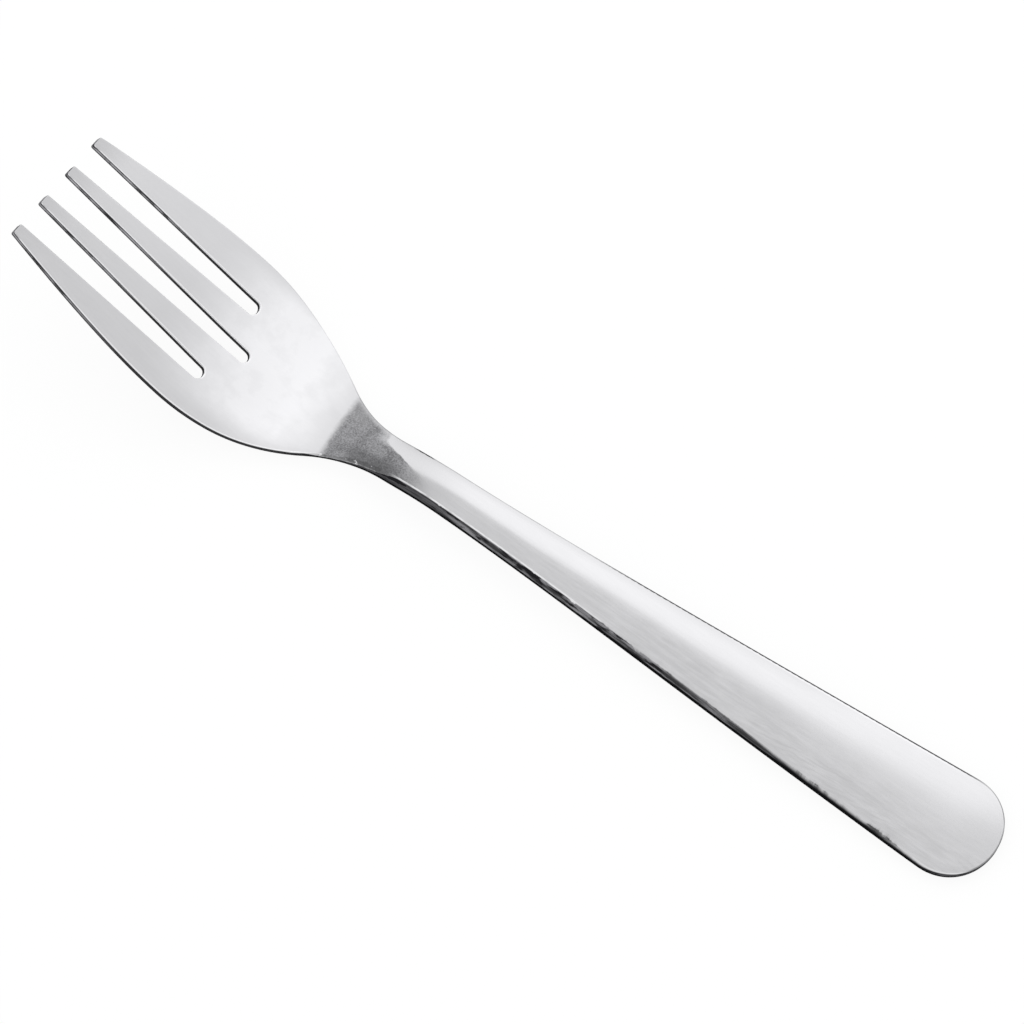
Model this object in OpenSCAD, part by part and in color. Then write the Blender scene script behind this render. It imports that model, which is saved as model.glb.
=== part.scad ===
// Salad fork with four tines, pressed from one stainless steel blank.
// It lies face up: the belly of the head and the end of the handle rest on Z = 0.
// X runs along the fork with the handle end at +X, Y runs across it, and the origin is
// under the middle of its length. A station is a distance from the handle's round end.

/* [Lengths] */
// Length of the handle from its round end to the narrowest place
handle_length = 94; // [70:1:130]
// Length of the neck between the handle and the head
neck_length = 11.5; // [8:0.5:18]
// Length of the head from the neck to its widest place
head_length = 22.5; // [18:0.5:32]
// Length of the free tines beyond the head
tine_length = 27.5; // [20:0.5:45]
// Length of the rounded part of the handle end
end_round = 7.4; // [4:0.1:10]
// Rounding of the corners of a tine's tip
tip_round = 0.3; // [0.1:0.05:0.5]
// How far a tip's under side runs past its upper side
tip_slant = 0.5; // [0:0.1:0.8]

/* [Widths] */
// Width across the broad end of the handle
handle_width = 15.45; // [12:0.05:22]
// Width of the narrowest place, where the handle meets the neck
neck_width = 5.6; // [4.5:0.1:8]
// Width across the head at its widest place
head_width = 26.1; // [20:0.1:32]
// Width across all the tines at their tips
tip_span = 19.7; // [16:0.1:25]
// Width of one tine at its tip
tip_width = 1.7; // [1.4:0.05:2.6]
// How long the handle's edges take to bend from the narrow neck into their straight taper
taper_bend = 22.5; // [8:0.5:40]
// How far past the narrowest place the sides of the head start to flare
flare_lead = 3.2; // [0:0.1:8]
// Share of the flare at which its sides turn from hollow to round
flare_turn = 0.36; // [0.2:0.02:0.8]
// How long the outer tines' edges take to bend towards the tips
tine_bend = 14.5; // [6:0.5:20]

/* [Tines and slots] */
// Number of tines
tine_count = 4; // [3:1:5]
// Width of a slot at its round root
slot_root_width = 2.2; // [1.2:0.1:2.6]
// How far the outer slots run into the head
slot_depth = 2.9; // [1.8:0.1:4]
// Length of the blunt round root of a slot
root_round = 0.8; // [0.4:0.05:1.2]
// How much further a slot at the middle runs than the outermost slots
middle_slot_extra = 3.1; // [0:0.1:5]

/* [Thickness] */
// Thickness of the handle's edge at its round end
end_thickness = 1.1; // [0.9:0.05:2]
// Thickness of the edge along the shank and at the narrowest place
shank_thickness = 2.7; // [1.8:0.05:3.5]
// Length over which the handle thickens from its end
thickening_length = 66; // [20:1:80]
// Length over which the neck thins into the head
thinning_length = 15.5; // [10:0.5:24]
// Thickness of the head where it is thinnest, just past the neck
head_thickness = 0.9; // [0.7:0.05:2]
// Thickness where the tines leave the head
tine_thickness = 1.2; // [0.9:0.05:2]
// Thickness of the tines at their tips
tip_thickness = 1.1; // [0.8:0.05:1.5]
// Height of the handle's rounded crown above its edges
crown_height = 0.55; // [0.2:0.05:1]
// Depth of the head's hollow below its edges
dish_depth = 0.6; // [0.1:0.05:1.2]
// Rounding of the edges
edge_round = 0.3; // [0.1:0.05:0.4]

/* [Side profile] */
// How far before the narrowest place the top starts to fall
bend_lead = 6; // [3:0.5:12]
// How far past the narrowest place the fall is steepest
bend_reach = 7.5; // [4:0.5:9]
// Steepest fall of the neck, in degrees below the handle's line
neck_fall = 14.4; // [4:0.1:18]
// Length of the bow that turns the head from falling to rising
bowl_run = 19.5; // [14:0.5:28]
// Rise of the tines, in degrees above the handle's line
tine_rise = 19.2; // [8:0.1:28]

/* [Hidden] */
steel = [0.60, 0.60, 0.60];

// Stations of the planes between the zones
neck_station = handle_length;
head_station = neck_station + neck_length;
tine_station = head_station + head_length;
tip_station = tine_station + tine_length;
flare_station = neck_station + flare_lead;
thin_station = neck_station + thinning_length;
middle_x = tip_station / 2;

// The slots
slot_root_pitch = head_width / tine_count;
tip_pitch = (tip_span - tip_width) / (tine_count - 1);
slot_tip_width = tip_pitch - tip_width;
slot_count = tine_count - 1;
outer_root = tine_station - slot_depth;

// Fineness of the lofts
handle_rings = 34;
cap_rings = 12;
neck_rings = 9;
head_rings = 22;
tine_rings = 20;
tip_rings = 5;
plate_steps = 14;
tine_steps = 4;
corner_steps = 3;
first_cap_angle = 7;
// Length before a tip over which its slant comes in
slant_reach = 2;
// How far a slot cutter stands above and below the head, and past its end
cutter_reach = 30;
cutter_overrun = 1;
root_sides = 24;

// Moves evenly from one value to the other
function mix(from, to, share) = from + (to - from) * share;
// Keeps a share between 0 and 1
function held(share) = min(1, max(0, share));
// S-shaped step from 0 to 1, level and straight at both ends
function ease(share) = let (t = held(share)) t * t * t * (t * (6 * t - 15) + 10);
// Straight taper that starts with a soft bend, 0 at run 0 and 1 at run full
function soft_taper(run, full, bend) =
    (sqrt(run * run + bend * bend) - bend) / (sqrt(full * full + bend * bend) - bend);

// S-shaped bend of two arcs from 0 to 1, which meet at the share where the bend turns
function two_arcs(share, turn) =
    let (t = held(share)) t < turn ? t * t / turn : 1 - pow(1 - t, 2) / (1 - turn);

// Share of the full width left inside the round end of the handle, which stops short of a point
function end_cap(s) =
    s >= end_round ? 1 : sqrt(1 - pow(cos(first_cap_angle) * (1 - s / end_round), 2));

// Half the width of the outline at a station
function half_width(s) =
    s < neck_station
    ? end_cap(s) * mix(neck_width, handle_width,
        soft_taper(neck_station - s, neck_station - end_round, taper_bend)) / 2
    : s < tine_station
    ? mix(neck_width, head_width,
        two_arcs((s - flare_station) / (tine_station - flare_station), flare_turn)) / 2
    : mix(head_width, tip_span, soft_taper(s - tine_station, tine_length, tine_bend)) / 2;

// Slope of the upper edge along the fork, by station, with the straight handle level
steepest_station = neck_station + bend_reach;
straight_station = steepest_station + bowl_run;
slopes = [
    [0, 0],
    [neck_station - bend_lead, 0],
    [steepest_station, -tan(neck_fall)],
    [straight_station, tan(tine_rise)],
    [tip_station, tan(tine_rise)]
];
// Height that one stretch of the slope list adds up to a station
function stretch_rise(k, s) =
    let (start = slopes[k][0], stop = min(s, slopes[k + 1][0]))
    stop <= start ? 0 : (stop - start) * (slopes[k][1] + lookup(stop, slopes)) / 2;
function sum(values, i = 0) = i < len(values) ? values[i] + sum(values, i + 1) : 0;
function level_height(s) = sum([for (k = [0:len(slopes) - 2]) stretch_rise(k, s)]);

// Thickness of the edge at a station
function edge_thickness(s) =
    s < neck_station
    ? mix(end_thickness, shank_thickness, ease(0.5 + s / thickening_length / 2) * 2 - 1)
    : s < thin_station
    ? mix(shank_thickness, head_thickness, ease((s - neck_station) / thinning_length))
    : s < tine_station
    ? mix(head_thickness, tine_thickness, ease((s - thin_station) / (tine_station - thin_station)))
    : mix(tine_thickness, tip_thickness, (s - tine_station) / tine_length);

// Height of the middle of the top above its edges, below zero in the hollow of the head
function bulge(s) =
    s < neck_station
    ? crown_height * pow(end_cap(s), 2)
    : s < tine_station
    ? mix(crown_height, -dish_depth, ease((s - neck_station) / thinning_length))
    : -dish_depth * (1 - (s - tine_station) / tine_length);

// The under side is flat across the handle and follows the hollow in the head
function under_bulge(s) = min(0, bulge(s));

// The handle's line is tipped until the handle end and the belly rest at one height
function under_middle(s) = level_height(s) - edge_thickness(s) + under_bulge(s);
belly_search = [for (s = [head_station:0.25:straight_station]) [under_middle(s), s]];
belly_level = min([for (pair = belly_search) pair[0]]);
belly_station = [for (pair = belly_search) if (pair[0] == belly_level) pair[1]][0];
tip_up = (under_middle(0) - belly_level) / belly_station;
function tipped(s) = level_height(s) + tip_up * s;
function tipped_under(s) = tipped(s) - edge_thickness(s) + under_bulge(s);
rest_level = min([for (s = [0:0.25:tip_station]) tipped_under(s)]);
function edge_height(s) = tipped(s) - rest_level;

// Heights of the top and of the under side at a station and a place across it
function across(s, y) = 1 - pow(y / half_width(s), 2);
function top_height(s, y) = edge_height(s) + bulge(s) * across(s, y);
function under_height(s, y) = edge_height(s) - edge_thickness(s) + under_bulge(s) * across(s, y);

// How far the upper side falls short of the under side near a tip
function lean(s) = tip_slant * held((s - tip_station + slant_reach) / slant_reach);

// Closed section between two places across the fork, with rounded edges
function section(s, low, high, steps) =
    let (
        upper = s - lean(s),
        r = min(edge_round, (high - low) / 4),
        inner_low = low + r,
        inner_high = high - r,
        places = [for (j = [0:steps]) mix(inner_low, inner_high, j / steps)],
        top = [for (y = places) [upper, y, top_height(upper, y)]],
        under = [for (j = [steps:-1:0]) [s, places[j], under_height(s, places[j])]],
        turns = [for (j = [1:corner_steps - 1]) 90 * j / corner_steps],
        high_top = top_height(upper, inner_high) - r,
        high_under = under_height(s, inner_high) + r,
        low_top = top_height(upper, inner_low) - r,
        low_under = under_height(s, inner_low) + r,
        ring = concat(
            top,
            [for (a = turns) [upper, inner_high + r * sin(a), high_top + r * cos(a)]],
            [[upper, high, high_top], [s, high, high_under]],
            [for (a = turns) [s, inner_high + r * cos(a), high_under - r * sin(a)]],
            under,
            [for (a = turns) [s, inner_low - r * sin(a), low_under - r * cos(a)]],
            [[s, low, low_under], [upper, low, low_top]],
            [for (a = turns) [upper, inner_low - r * cos(a), low_top + r * sin(a)]]
        )
    )
    [for (point = ring) [middle_x - point[0], point[1], point[2]]];

// Skin over a list of sections with equal counts of points, closed at both ends
module loft(sections) {
    count = len(sections[0]);
    last = len(sections) - 1;
    sides = [
        for (i = [0:last - 1]) for (j = [0:count - 1])
            let (a = i * count + j, b = i * count + (j + 1) % count)
            each [[a, a + count, b], [b, a + count, b + count]]
    ];
    start = [for (j = [0:count - 1]) j];
    end = [for (j = [count - 1:-1:0]) last * count + j];
    polyhedron([for (ring = sections) each ring], concat([start], sides, [end]), convexity = 8);
}

// Sections across the whole width of the fork at a list of stations
module plate(stations) {
    loft([for (s = stations) section(s, -half_width(s), half_width(s), plate_steps)]);
}

// Stations spread evenly from one plane to the next
function spread(from, to, count) = [for (i = [0:count]) mix(from, to, i / count)];

// Stations round the handle's end, closer together where the outline turns faster
function cap_station(i) =
    end_round * (1 - cos(mix(first_cap_angle, 90, i / cap_rings)) / cos(first_cap_angle));

// Edges of a slot, numbered from 1 at the low side
function slot_share(s) = (s - outer_root) / (tip_station - outer_root);
function slot_middle(i, s) = (i - tine_count / 2) * mix(slot_root_pitch, tip_pitch, slot_share(s));
function slot_half(s) = mix(slot_root_width, slot_tip_width, slot_share(s)) / 2;
// The root of a slot lies deeper the nearer the slot is to the middle
function root_station(i) =
    outer_root - middle_slot_extra * (slot_count > 2 ? 1 - abs(2 * i - tine_count) / (slot_count - 1) : 0);

// Edges of a tine: the outline on the outside and the slots on the inside
function tine_low(i, s) = i == 1 ? -half_width(s) : slot_middle(i - 1, s) + slot_half(s);
function tine_high(i, s) = i == tine_count ? half_width(s) : slot_middle(i, s) - slot_half(s);

// Section of a tine, drawn in by a length at both sides
function tine_section(i, s, drawn_in) =
    section(s, tine_low(i, s) + drawn_in, tine_high(i, s) - drawn_in, tine_steps);

// Cutter for the part of a slot inside the head, with a round root
module slot_cutter(i) {
    centre = root_station(i) + root_round;
    half = slot_half(centre);
    past = tine_station + cutter_overrun;
    translate([0, 0, -cutter_reach])
        linear_extrude(2 * cutter_reach)
            polygon(concat(
                [for (k = [0:root_sides]) let (a = 180 * k / root_sides)
                    [middle_x - centre + root_round * sin(a), slot_middle(i, centre) + half * cos(a)]],
                [[middle_x - past, slot_middle(i, past) - slot_half(past)],
                 [middle_x - past, slot_middle(i, past) + slot_half(past)]]
            ));
}

// Tapered handle with a crowned top, a flat under side and a round end
module handle() {
    color(steel)
        plate(concat(
            [for (i = [0:cap_rings - 1]) cap_station(i)],
            spread(end_round, neck_station, handle_rings)
        ));
}

// Narrow neck that falls from the handle to the head
module neck() {
    color(steel)
        plate(spread(neck_station, head_station, neck_rings));
}

// Hollowed head with the round roots of the slots
module head() {
    color(steel)
        difference() {
            plate(spread(head_station, tine_station, head_rings));
            for (i = [1:slot_count]) slot_cutter(i);
        }
}

// One tine, tapered to a blunt tip with rounded corners
module tine(i) {
    shoulder = tip_station - tip_round;
    straight = [for (s = spread(tine_station, shoulder, tine_rings)) tine_section(i, s, 0)];
    tip = [for (k = [1:tip_rings])
        let (angle = 90 * k / tip_rings)
        tine_section(i, shoulder + tip_round * sin(angle), tip_round * (1 - cos(angle)))];
    color(steel)
        loft(concat(straight, tip));
}

handle();
neck();
head();
for (i = [1:tine_count]) tine(i);
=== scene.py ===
"""Salad fork: one blank of stainless steel, cut, pressed, rounded and finished, on a plain stage."""

import functools
import math
import operator

import bmesh
import bpy
from bpy.props import FloatProperty, FloatVectorProperty, PointerProperty
from mathutils import Matrix, Vector
from mathutils.kdtree import KDTree


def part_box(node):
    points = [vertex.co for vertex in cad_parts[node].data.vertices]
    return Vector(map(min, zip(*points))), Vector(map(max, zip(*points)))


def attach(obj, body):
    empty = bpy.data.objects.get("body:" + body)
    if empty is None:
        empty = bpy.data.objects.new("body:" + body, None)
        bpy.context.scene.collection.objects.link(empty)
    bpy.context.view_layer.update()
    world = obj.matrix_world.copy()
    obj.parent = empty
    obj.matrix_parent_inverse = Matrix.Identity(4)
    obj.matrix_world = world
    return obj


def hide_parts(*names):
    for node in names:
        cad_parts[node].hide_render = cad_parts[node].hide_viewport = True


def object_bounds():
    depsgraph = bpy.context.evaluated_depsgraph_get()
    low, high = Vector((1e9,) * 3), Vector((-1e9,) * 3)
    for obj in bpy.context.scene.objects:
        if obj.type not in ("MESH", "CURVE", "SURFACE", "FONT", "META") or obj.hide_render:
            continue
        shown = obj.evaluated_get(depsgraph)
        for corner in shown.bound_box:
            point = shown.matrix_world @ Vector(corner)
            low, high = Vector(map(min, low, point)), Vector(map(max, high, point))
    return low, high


bl_info = {
    "name": "Salad fork",
    "version": (1, 0, 0),
    "blender": (4, 5, 0),
    "location": "View3D > Sidebar > Fork",
    "description": "Models a salad fork with its finish, and a plain stage for it",
    "category": "Add Mesh",
}

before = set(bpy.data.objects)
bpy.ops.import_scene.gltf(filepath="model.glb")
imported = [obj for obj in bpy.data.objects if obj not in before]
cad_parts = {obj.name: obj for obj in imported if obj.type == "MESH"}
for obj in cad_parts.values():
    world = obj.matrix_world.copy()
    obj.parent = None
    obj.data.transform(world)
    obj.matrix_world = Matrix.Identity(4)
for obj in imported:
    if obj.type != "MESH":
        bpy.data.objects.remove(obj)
cad_low, cad_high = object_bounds()

ZONES = sorted(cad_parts)
TINE_COUNT = sum(name.startswith("tine_") for name in ZONES)

# The blank is worked in millimetres, because the edge tools lose fine detail at a metre's scale
MM = 0.001

# Planes between the zones, as distances from the handle's round end
NECK_STATION = (cad_high.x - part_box("handle")[0].x) / MM
HEAD_STATION = (cad_high.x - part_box("neck")[0].x) / MM
TINE_STATION = (cad_high.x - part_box("head")[0].x) / MM
TIP_STATION = (cad_high.x - cad_low.x) / MM
HEAD_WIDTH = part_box("head")[1].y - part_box("head")[0].y

# Fineness of the mesh, in millimetres and in steps
OUTLINE_PACE = 0.5
GRID_PACE = Vector((1.0, 0.8))
PROFILE_PACE = 0.25
MERGE_DISTANCE = 1e-4
CUT_DISTANCE = 1e-5
ROUND_STEPS = 26
ROOT_STEPS = 14
CORNER_STEPS = 5
RIM_STEPS = 4
# Edges that turn by more than this are rims, which get rounded
RIM_ANGLE = math.radians(50)
# Lengths before a tip over which its slant comes in, and over which the tuck of the slots goes out
SLANT_REACH = 2.0
TUCK_REACH = 8.0
# Stations between which the shank's crown comes to lean
CROWN_LEAN_START = 56.0
CROWN_LEAN_FULL = 80.0
# Length from the handle end over which its under edge rolls up
ROLL_REACH = 14.0
# What the mesh tells the finish of each place: its depth, from 0 at the upper face to 1 at the under side,
# its inset from the nearest edge in metres, and the side that this edge faces and the lane across the fork,
# both from -1 at the near side to 1 at the far one
EDGE_MARKS = ("edge_depth", "edge_inset", "edge_side", "edge_lane")


def length(name, words, default):
    """A size that a user would change."""
    return FloatProperty(name=name, description=words, default=default, min=0.0, precision=5, unit="LENGTH")


def angle(name, words, degrees):
    """A slope that a user would change."""
    return FloatProperty(name=name, description=words, default=math.radians(degrees), subtype="ANGLE")


def share(name, words, default):
    """A value from none to all that a user would change."""
    return FloatProperty(name=name, description=words, default=default, min=0.0, max=1.0, subtype="FACTOR")


def colour(name, words, default):
    """A colour that a user would change."""
    limits = {"size": 3, "min": 0.0, "max": 1.0, "subtype": "COLOR"}
    return FloatVectorProperty(name=name, description=words, default=default, **limits)


class ForkSizes(bpy.types.PropertyGroup):
    """Sizes of the fork that the frame's boxes don't give."""

    end_round: length("End round", "Length of the rounded part of the handle end", 0.0074)
    handle_width: length("Handle width", "Width across the broad end of the handle", 0.01545)
    neck_width: length("Neck width", "Width of the narrowest place", 0.0056)
    taper_bend: length("Taper bend", "How long the handle's edges take to bend into their taper", 0.0225)
    flare_lead: length("Flare lead", "How far past the narrowest place the head starts to flare", 0.0032)
    flare_turn: share("Flare turn", "Share of the flare at which it turns from hollow to round", 0.36)
    tip_span: length("Tip span", "Width across all the tines at their tips", 0.0197)
    tip_width: length("Tip width", "Width of one tine at its tip", 0.0017)
    tip_round: length("Tip round", "Rounding of the corners of a tip", 0.0003)
    tip_slant: length("Tip slant", "How far a tip's under side runs past its upper side", 0.0005)
    tine_bend: length("Tine bend", "How long the outer tines' edges take to bend", 0.0145)
    slot_root_width: length("Slot root width", "Width of a slot at its round root", 0.0022)
    slot_depth: length("Slot depth", "How far the outer slots run into the head", 0.0029)
    root_round: length("Root round", "Length of the blunt round root of a slot", 0.0008)
    middle_slot_extra: length("Middle slot extra", "How much further the middle slot runs", 0.0031)
    end_thickness: length("End thickness", "Thickness of the handle's edge at its round end", 0.0011)
    shank_thickness: length("Shank thickness", "Thickness of the edge along the shank", 0.0027)
    thickening_length: length("Thickening length", "Length over which the handle thickens", 0.066)
    thinning_length: length("Thinning length", "Length over which the neck thins into the head", 0.0155)
    head_thickness: length("Head thickness", "Thickness of the head just past the neck", 0.0009)
    tine_thickness: length("Tine thickness", "Thickness where the tines leave the head", 0.0012)
    tip_thickness: length("Tip thickness", "Thickness of the tines at their tips", 0.0011)
    crown_height: length("Crown height", "Height of the handle's crown above its edges", 0.00055)
    crown_lean: share("Crown lean", "How far the crown leans to the near side along the shank", 0.3)
    dish_depth: length("Dish depth", "Depth of the head's hollow below its edges", 0.0006)
    end_roll: length("End roll", "How far the under edge rolls up at the handle end", 0.0002)
    rim_radius: length("Rim radius", "Rounding of the edges", 0.00012)
    rim_width: length("Rim width", "Width of the even band inside the edges", 0.0003)
    bend_lead: length("Bend lead", "How far before the neck the top starts to fall", 0.006)
    bend_reach: length("Bend reach", "How far past the neck the fall is steepest", 0.0075)
    bowl_run: length("Bowl run", "Length of the bow of the head", 0.0195)
    neck_fall: angle("Neck fall", "Steepest fall of the neck below the handle's line", 14.4)
    tine_rise: angle("Tine rise", "Rise of the tines above the handle's line", 19.2)


# The fork's sizes that aren't lengths
SHARES_AND_SLOPES = {"flare_turn", "crown_lean", "neck_fall", "tine_rise"}


class SteelFinish(bpy.types.PropertyGroup):
    """Colours and gloss of the steel."""

    polished: colour("Polished", "Colour of the polished faces", (0.580, 0.579, 0.591))
    # The palm's brighter colour is a painted highlight
    palm: colour("Palm", "Colour of the brighter middle of the head", (0.785, 0.784, 0.800))
    # Colour of the painted highlights on the near rims and in the glint by the far rim
    burnished: colour("Burnished", "Colour of the rubbed bright rims", (0.86, 0.86, 0.875))
    # A dark grey for the painted reflection at the neck, the painted far-rim shade and the near-edge marks
    dull: colour("Dull", "Colour of the unpolished neck", (0.178, 0.178, 0.184))
    # The three cut-edge colours below are painted shade on the walls
    sheared: colour("Sheared", "Colour of the dark cut edges", (0.016, 0.0155, 0.0175))
    streak: colour("Streak", "Colour of the grey streaks on the cut edges", (0.14, 0.139, 0.146))
    torn: colour("Torn", "Colour of the black strip below the cut edges", (0.0065, 0.0065, 0.0072))
    polished_roughness: share("Polished roughness", "Roughness of the polished handle", 0.21)
    head_roughness: share("Head roughness", "Roughness of the satin head and tines", 0.45)
    dull_roughness: share("Dull roughness", "Roughness of the neck and the cut edges", 0.5)


class StageLook(bpy.types.PropertyGroup):
    """Floor and light."""

    floor: colour("Floor", "Colour of the floor", (0.95, 0.95, 0.95))
    shadow: share("Shadow", "How much of the shadow the floor keeps", 0.10)


def mix(start, stop, part):
    """Moves evenly from one value to the other."""
    return start + (stop - start) * part


def ease(part):
    """S-shaped step from 0 to 1, level and straight at both ends."""
    t = min(1.0, max(0.0, part))
    return t * t * t * (t * (6 * t - 15) + 10)


def soft_taper(run, full, bend):
    """Straight taper that starts with a soft bend, 0 at run 0 and 1 at run full."""
    return (math.hypot(run, bend) - bend) / (math.hypot(full, bend) - bend)


def two_arcs(part, turn):
    """S-shaped bend of two arcs from 0 to 1, which meet at the share where the bend turns."""
    t = min(1.0, max(0.0, part))
    return t * t / turn if t < turn else 1 - (1 - t) ** 2 / (1 - turn)


def spread(start, stop, pace):
    """Values from start to stop, about a pace apart."""
    count = max(1, round(abs(stop - start) / pace))
    return [mix(start, stop, i / count) for i in range(count + 1)]


def turns(start, stop, count):
    """Angles in radians from start to stop degrees."""
    return [math.radians(mix(start, stop, i / count)) for i in range(count + 1)]


class ForkForm:
    """The fork's plan and profile in millimetres, by station: the distance from the handle's round end."""

    def __init__(self, sizes):
        for name in set(ForkSizes.__annotations__) - SHARES_AND_SLOPES:
            setattr(self, name, getattr(sizes, name) / MM)
        self.head_width = HEAD_WIDTH / MM
        self.flare_turn = sizes.flare_turn
        self.crown_lean = sizes.crown_lean
        self.tip_pitch = (self.tip_span - self.tip_width) / (TINE_COUNT - 1)
        self.outer_root = TINE_STATION - self.slot_depth
        self.shoulder = TIP_STATION - self.tip_round
        self.tine_length = TIP_STATION - TINE_STATION
        self.thin_station = NECK_STATION + self.thinning_length
        steepest = NECK_STATION + self.bend_reach
        straight = steepest + self.bowl_run
        rise = math.tan(sizes.tine_rise)
        self.slopes = [
            (0.0, 0.0),
            (NECK_STATION - self.bend_lead, 0.0),
            (steepest, -math.tan(sizes.neck_fall)),
            (straight, rise),
            (TIP_STATION, rise),
        ]
        self.tip_up = 0.0
        self.rest_level = 0.0
        bowl = spread(HEAD_STATION, straight, PROFILE_PACE)
        belly_level, belly = min((self.under_height(s, 0.0), s) for s in bowl)
        self.tip_up = (self.under_height(0.0, 0.0) - belly_level) / belly
        self.rest_level = min(self.under_height(s, 0.0) for s in spread(0.0, TIP_STATION, PROFILE_PACE))

    def taper(self, s):
        """Half the width of the handle, were its end not round."""
        part = soft_taper(NECK_STATION - s, NECK_STATION - self.end_round, self.taper_bend)
        return mix(self.neck_width, self.handle_width, part) / 2

    def end_cap(self, s):
        """Share of the width that the round end leaves."""
        short = max(0.0, 1 - s / self.end_round)
        return math.sqrt(max(0.0, 1 - short * short))

    def half_width(self, s):
        """Half the width of the outline."""
        if s < NECK_STATION:
            return self.taper(s) * self.end_cap(s)
        if s < TINE_STATION:
            start = NECK_STATION + self.flare_lead
            part = two_arcs((s - start) / (TINE_STATION - start), self.flare_turn)
            return mix(self.neck_width, self.head_width, part) / 2
        part = soft_taper(s - TINE_STATION, self.tine_length, self.tine_bend)
        return mix(self.head_width, self.tip_span, part) / 2

    def level_height(self, s):
        """Height of the upper edge with the straight handle level: the sum of the slopes so far."""
        height = 0.0
        for (start, before), (stop, after) in zip(self.slopes, self.slopes[1:]):
            run = min(s, stop) - start
            if run > 0:
                here = mix(before, after, run / (stop - start))
                height += run * (before + here) / 2
        return height

    def edge_thickness(self, s):
        """Thickness at the edge."""
        if s < NECK_STATION:
            part = ease(0.5 + s / self.thickening_length / 2) * 2 - 1
            return mix(self.end_thickness, self.shank_thickness, part)
        if s < self.thin_station:
            part = ease((s - NECK_STATION) / self.thinning_length)
            return mix(self.shank_thickness, self.head_thickness, part)
        if s < TINE_STATION:
            part = ease((s - self.thin_station) / (TINE_STATION - self.thin_station))
            return mix(self.head_thickness, self.tine_thickness, part)
        return mix(self.tine_thickness, self.tip_thickness, (s - TINE_STATION) / self.tine_length)

    def bulge(self, s):
        """Height of the middle of the top above its edges, below zero in the hollow of the head."""
        if s < NECK_STATION:
            return self.crown_height * self.end_cap(s) ** 2
        if s < TINE_STATION:
            part = ease((s - NECK_STATION) / self.thinning_length)
            return mix(self.crown_height, -self.dish_depth, part)
        return -self.dish_depth * (1 - (s - TINE_STATION) / self.tine_length)

    def edge_height(self, s):
        """Height of the upper edge, with the handle end and the belly at rest on the floor."""
        return self.level_height(s) + self.tip_up * s - self.rest_level

    def slant(self, s):
        """How far the upper side falls short of the under side near a tip."""
        return self.tip_slant * max(0.0, s - TIP_STATION + SLANT_REACH) / SLANT_REACH

    def tuck(self, s):
        """How far the under side runs on towards the tips, so that slot roots stand square to the head."""
        rise = self.edge_height(s + PROFILE_PACE) - self.edge_height(s)
        square = self.edge_thickness(s) * max(0.0, rise) / math.hypot(rise, PROFILE_PACE)
        return square * min(1.0, max(0.0, TIP_STATION - s) / TUCK_REACH)

    def roll(self, s):
        """How far the under edge rolls up near the handle end."""
        return self.end_roll * ease(1 - s / ROLL_REACH)

    def lane(self, s, y):
        """Place across the fork, from -1 at the near edge to 1 at the far one."""
        return y / max(self.rim_width, self.half_width(s))

    def across(self, s, y):
        """Share of the bulge at a place across the fork."""
        half = self.half_width(s)
        return 1 - min(1.0, (y / half) ** 2) if half > 0 else 0.0

    def crown_tilt(self, s, y):
        """How the crown leans along the shank: above 1 on the near side and below 1 on the far one."""
        comes = ease((s - CROWN_LEAN_START) / (CROWN_LEAN_FULL - CROWN_LEAN_START))
        goes = ease((HEAD_STATION - s) / (HEAD_STATION - NECK_STATION))
        return 1 - self.crown_lean * comes * goes * self.lane(s, y)

    def top_height(self, s, y):
        """Height of the upper face."""
        return self.edge_height(s) + self.bulge(s) * self.across(s, y) * self.crown_tilt(s, y)

    def under_height(self, s, y):
        """Height of the under side, which is flat across the handle and follows the hollow of the head."""
        hollow = min(0.0, self.bulge(s)) * self.across(s, y)
        return self.edge_height(s) - self.edge_thickness(s) + hollow

    def slot_share(self, s):
        """How far along the outer slots a station is."""
        return (s - self.outer_root) / (TIP_STATION - self.outer_root)

    def slot_middle(self, i, s):
        """Middle line of a slot, numbered from 1 at the near side."""
        pitch = mix(self.head_width / TINE_COUNT, self.tip_pitch, self.slot_share(s))
        return (i - TINE_COUNT / 2) * pitch

    def slot_half(self, s):
        """Half the width of a slot."""
        return mix(self.slot_root_width, self.tip_pitch - self.tip_width, self.slot_share(s)) / 2

    def root_station(self, i):
        """Station of a slot's root, deeper the nearer the slot is to the middle."""
        from_middle = abs(2 * i - TINE_COUNT) / (TINE_COUNT - 2)
        return self.outer_root - self.middle_slot_extra * (1 - from_middle)


def side_outline(form):
    """Stations and sides along one side of the fork, from the handle end to the first tip's shoulder."""
    stations = [form.end_round * (1 - math.cos(a)) for a in turns(0, 90, ROUND_STEPS)]
    for stop in (NECK_STATION, TINE_STATION, form.shoulder):
        stations += spread(stations[-1], stop, OUTLINE_PACE)[1:]
    return [(s, form.half_width(s)) for s in stations]


def tip_outline(form, high, low):
    """Blunt tip between the two sides of a tine at its shoulder, with rounded corners."""
    radius = form.tip_round
    bend = turns(0, 90, CORNER_STEPS)
    corner = [(form.shoulder + radius * math.sin(a), radius * (1 - math.cos(a))) for a in bend]
    return [(s, high - pull) for s, pull in corner[1:]] + [(s, low + pull) for s, pull in reversed(corner)]


def slot_outline(form, i):
    """Slot from the shoulder of the tine above it round its root and back, or to the fork's middle line."""
    centre = form.root_station(i) + form.root_round
    half = form.slot_half(centre)
    middle = form.slot_middle(i, centre)
    at_middle = 2 * i == TINE_COUNT
    stations = spread(form.shoulder, centre, OUTLINE_PACE)
    points = [(s, form.slot_middle(i, s) + form.slot_half(s)) for s in stations[1:]]
    sweep = turns(0, 90, ROOT_STEPS // 2) if at_middle else turns(0, 180, ROOT_STEPS)
    points += [(centre - form.root_round * math.sin(a), middle + half * math.cos(a)) for a in sweep[1:]]
    if not at_middle:
        points += [(s, form.slot_middle(i, s) - form.slot_half(s)) for s in stations[::-1][1:]]
    return points


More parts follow.
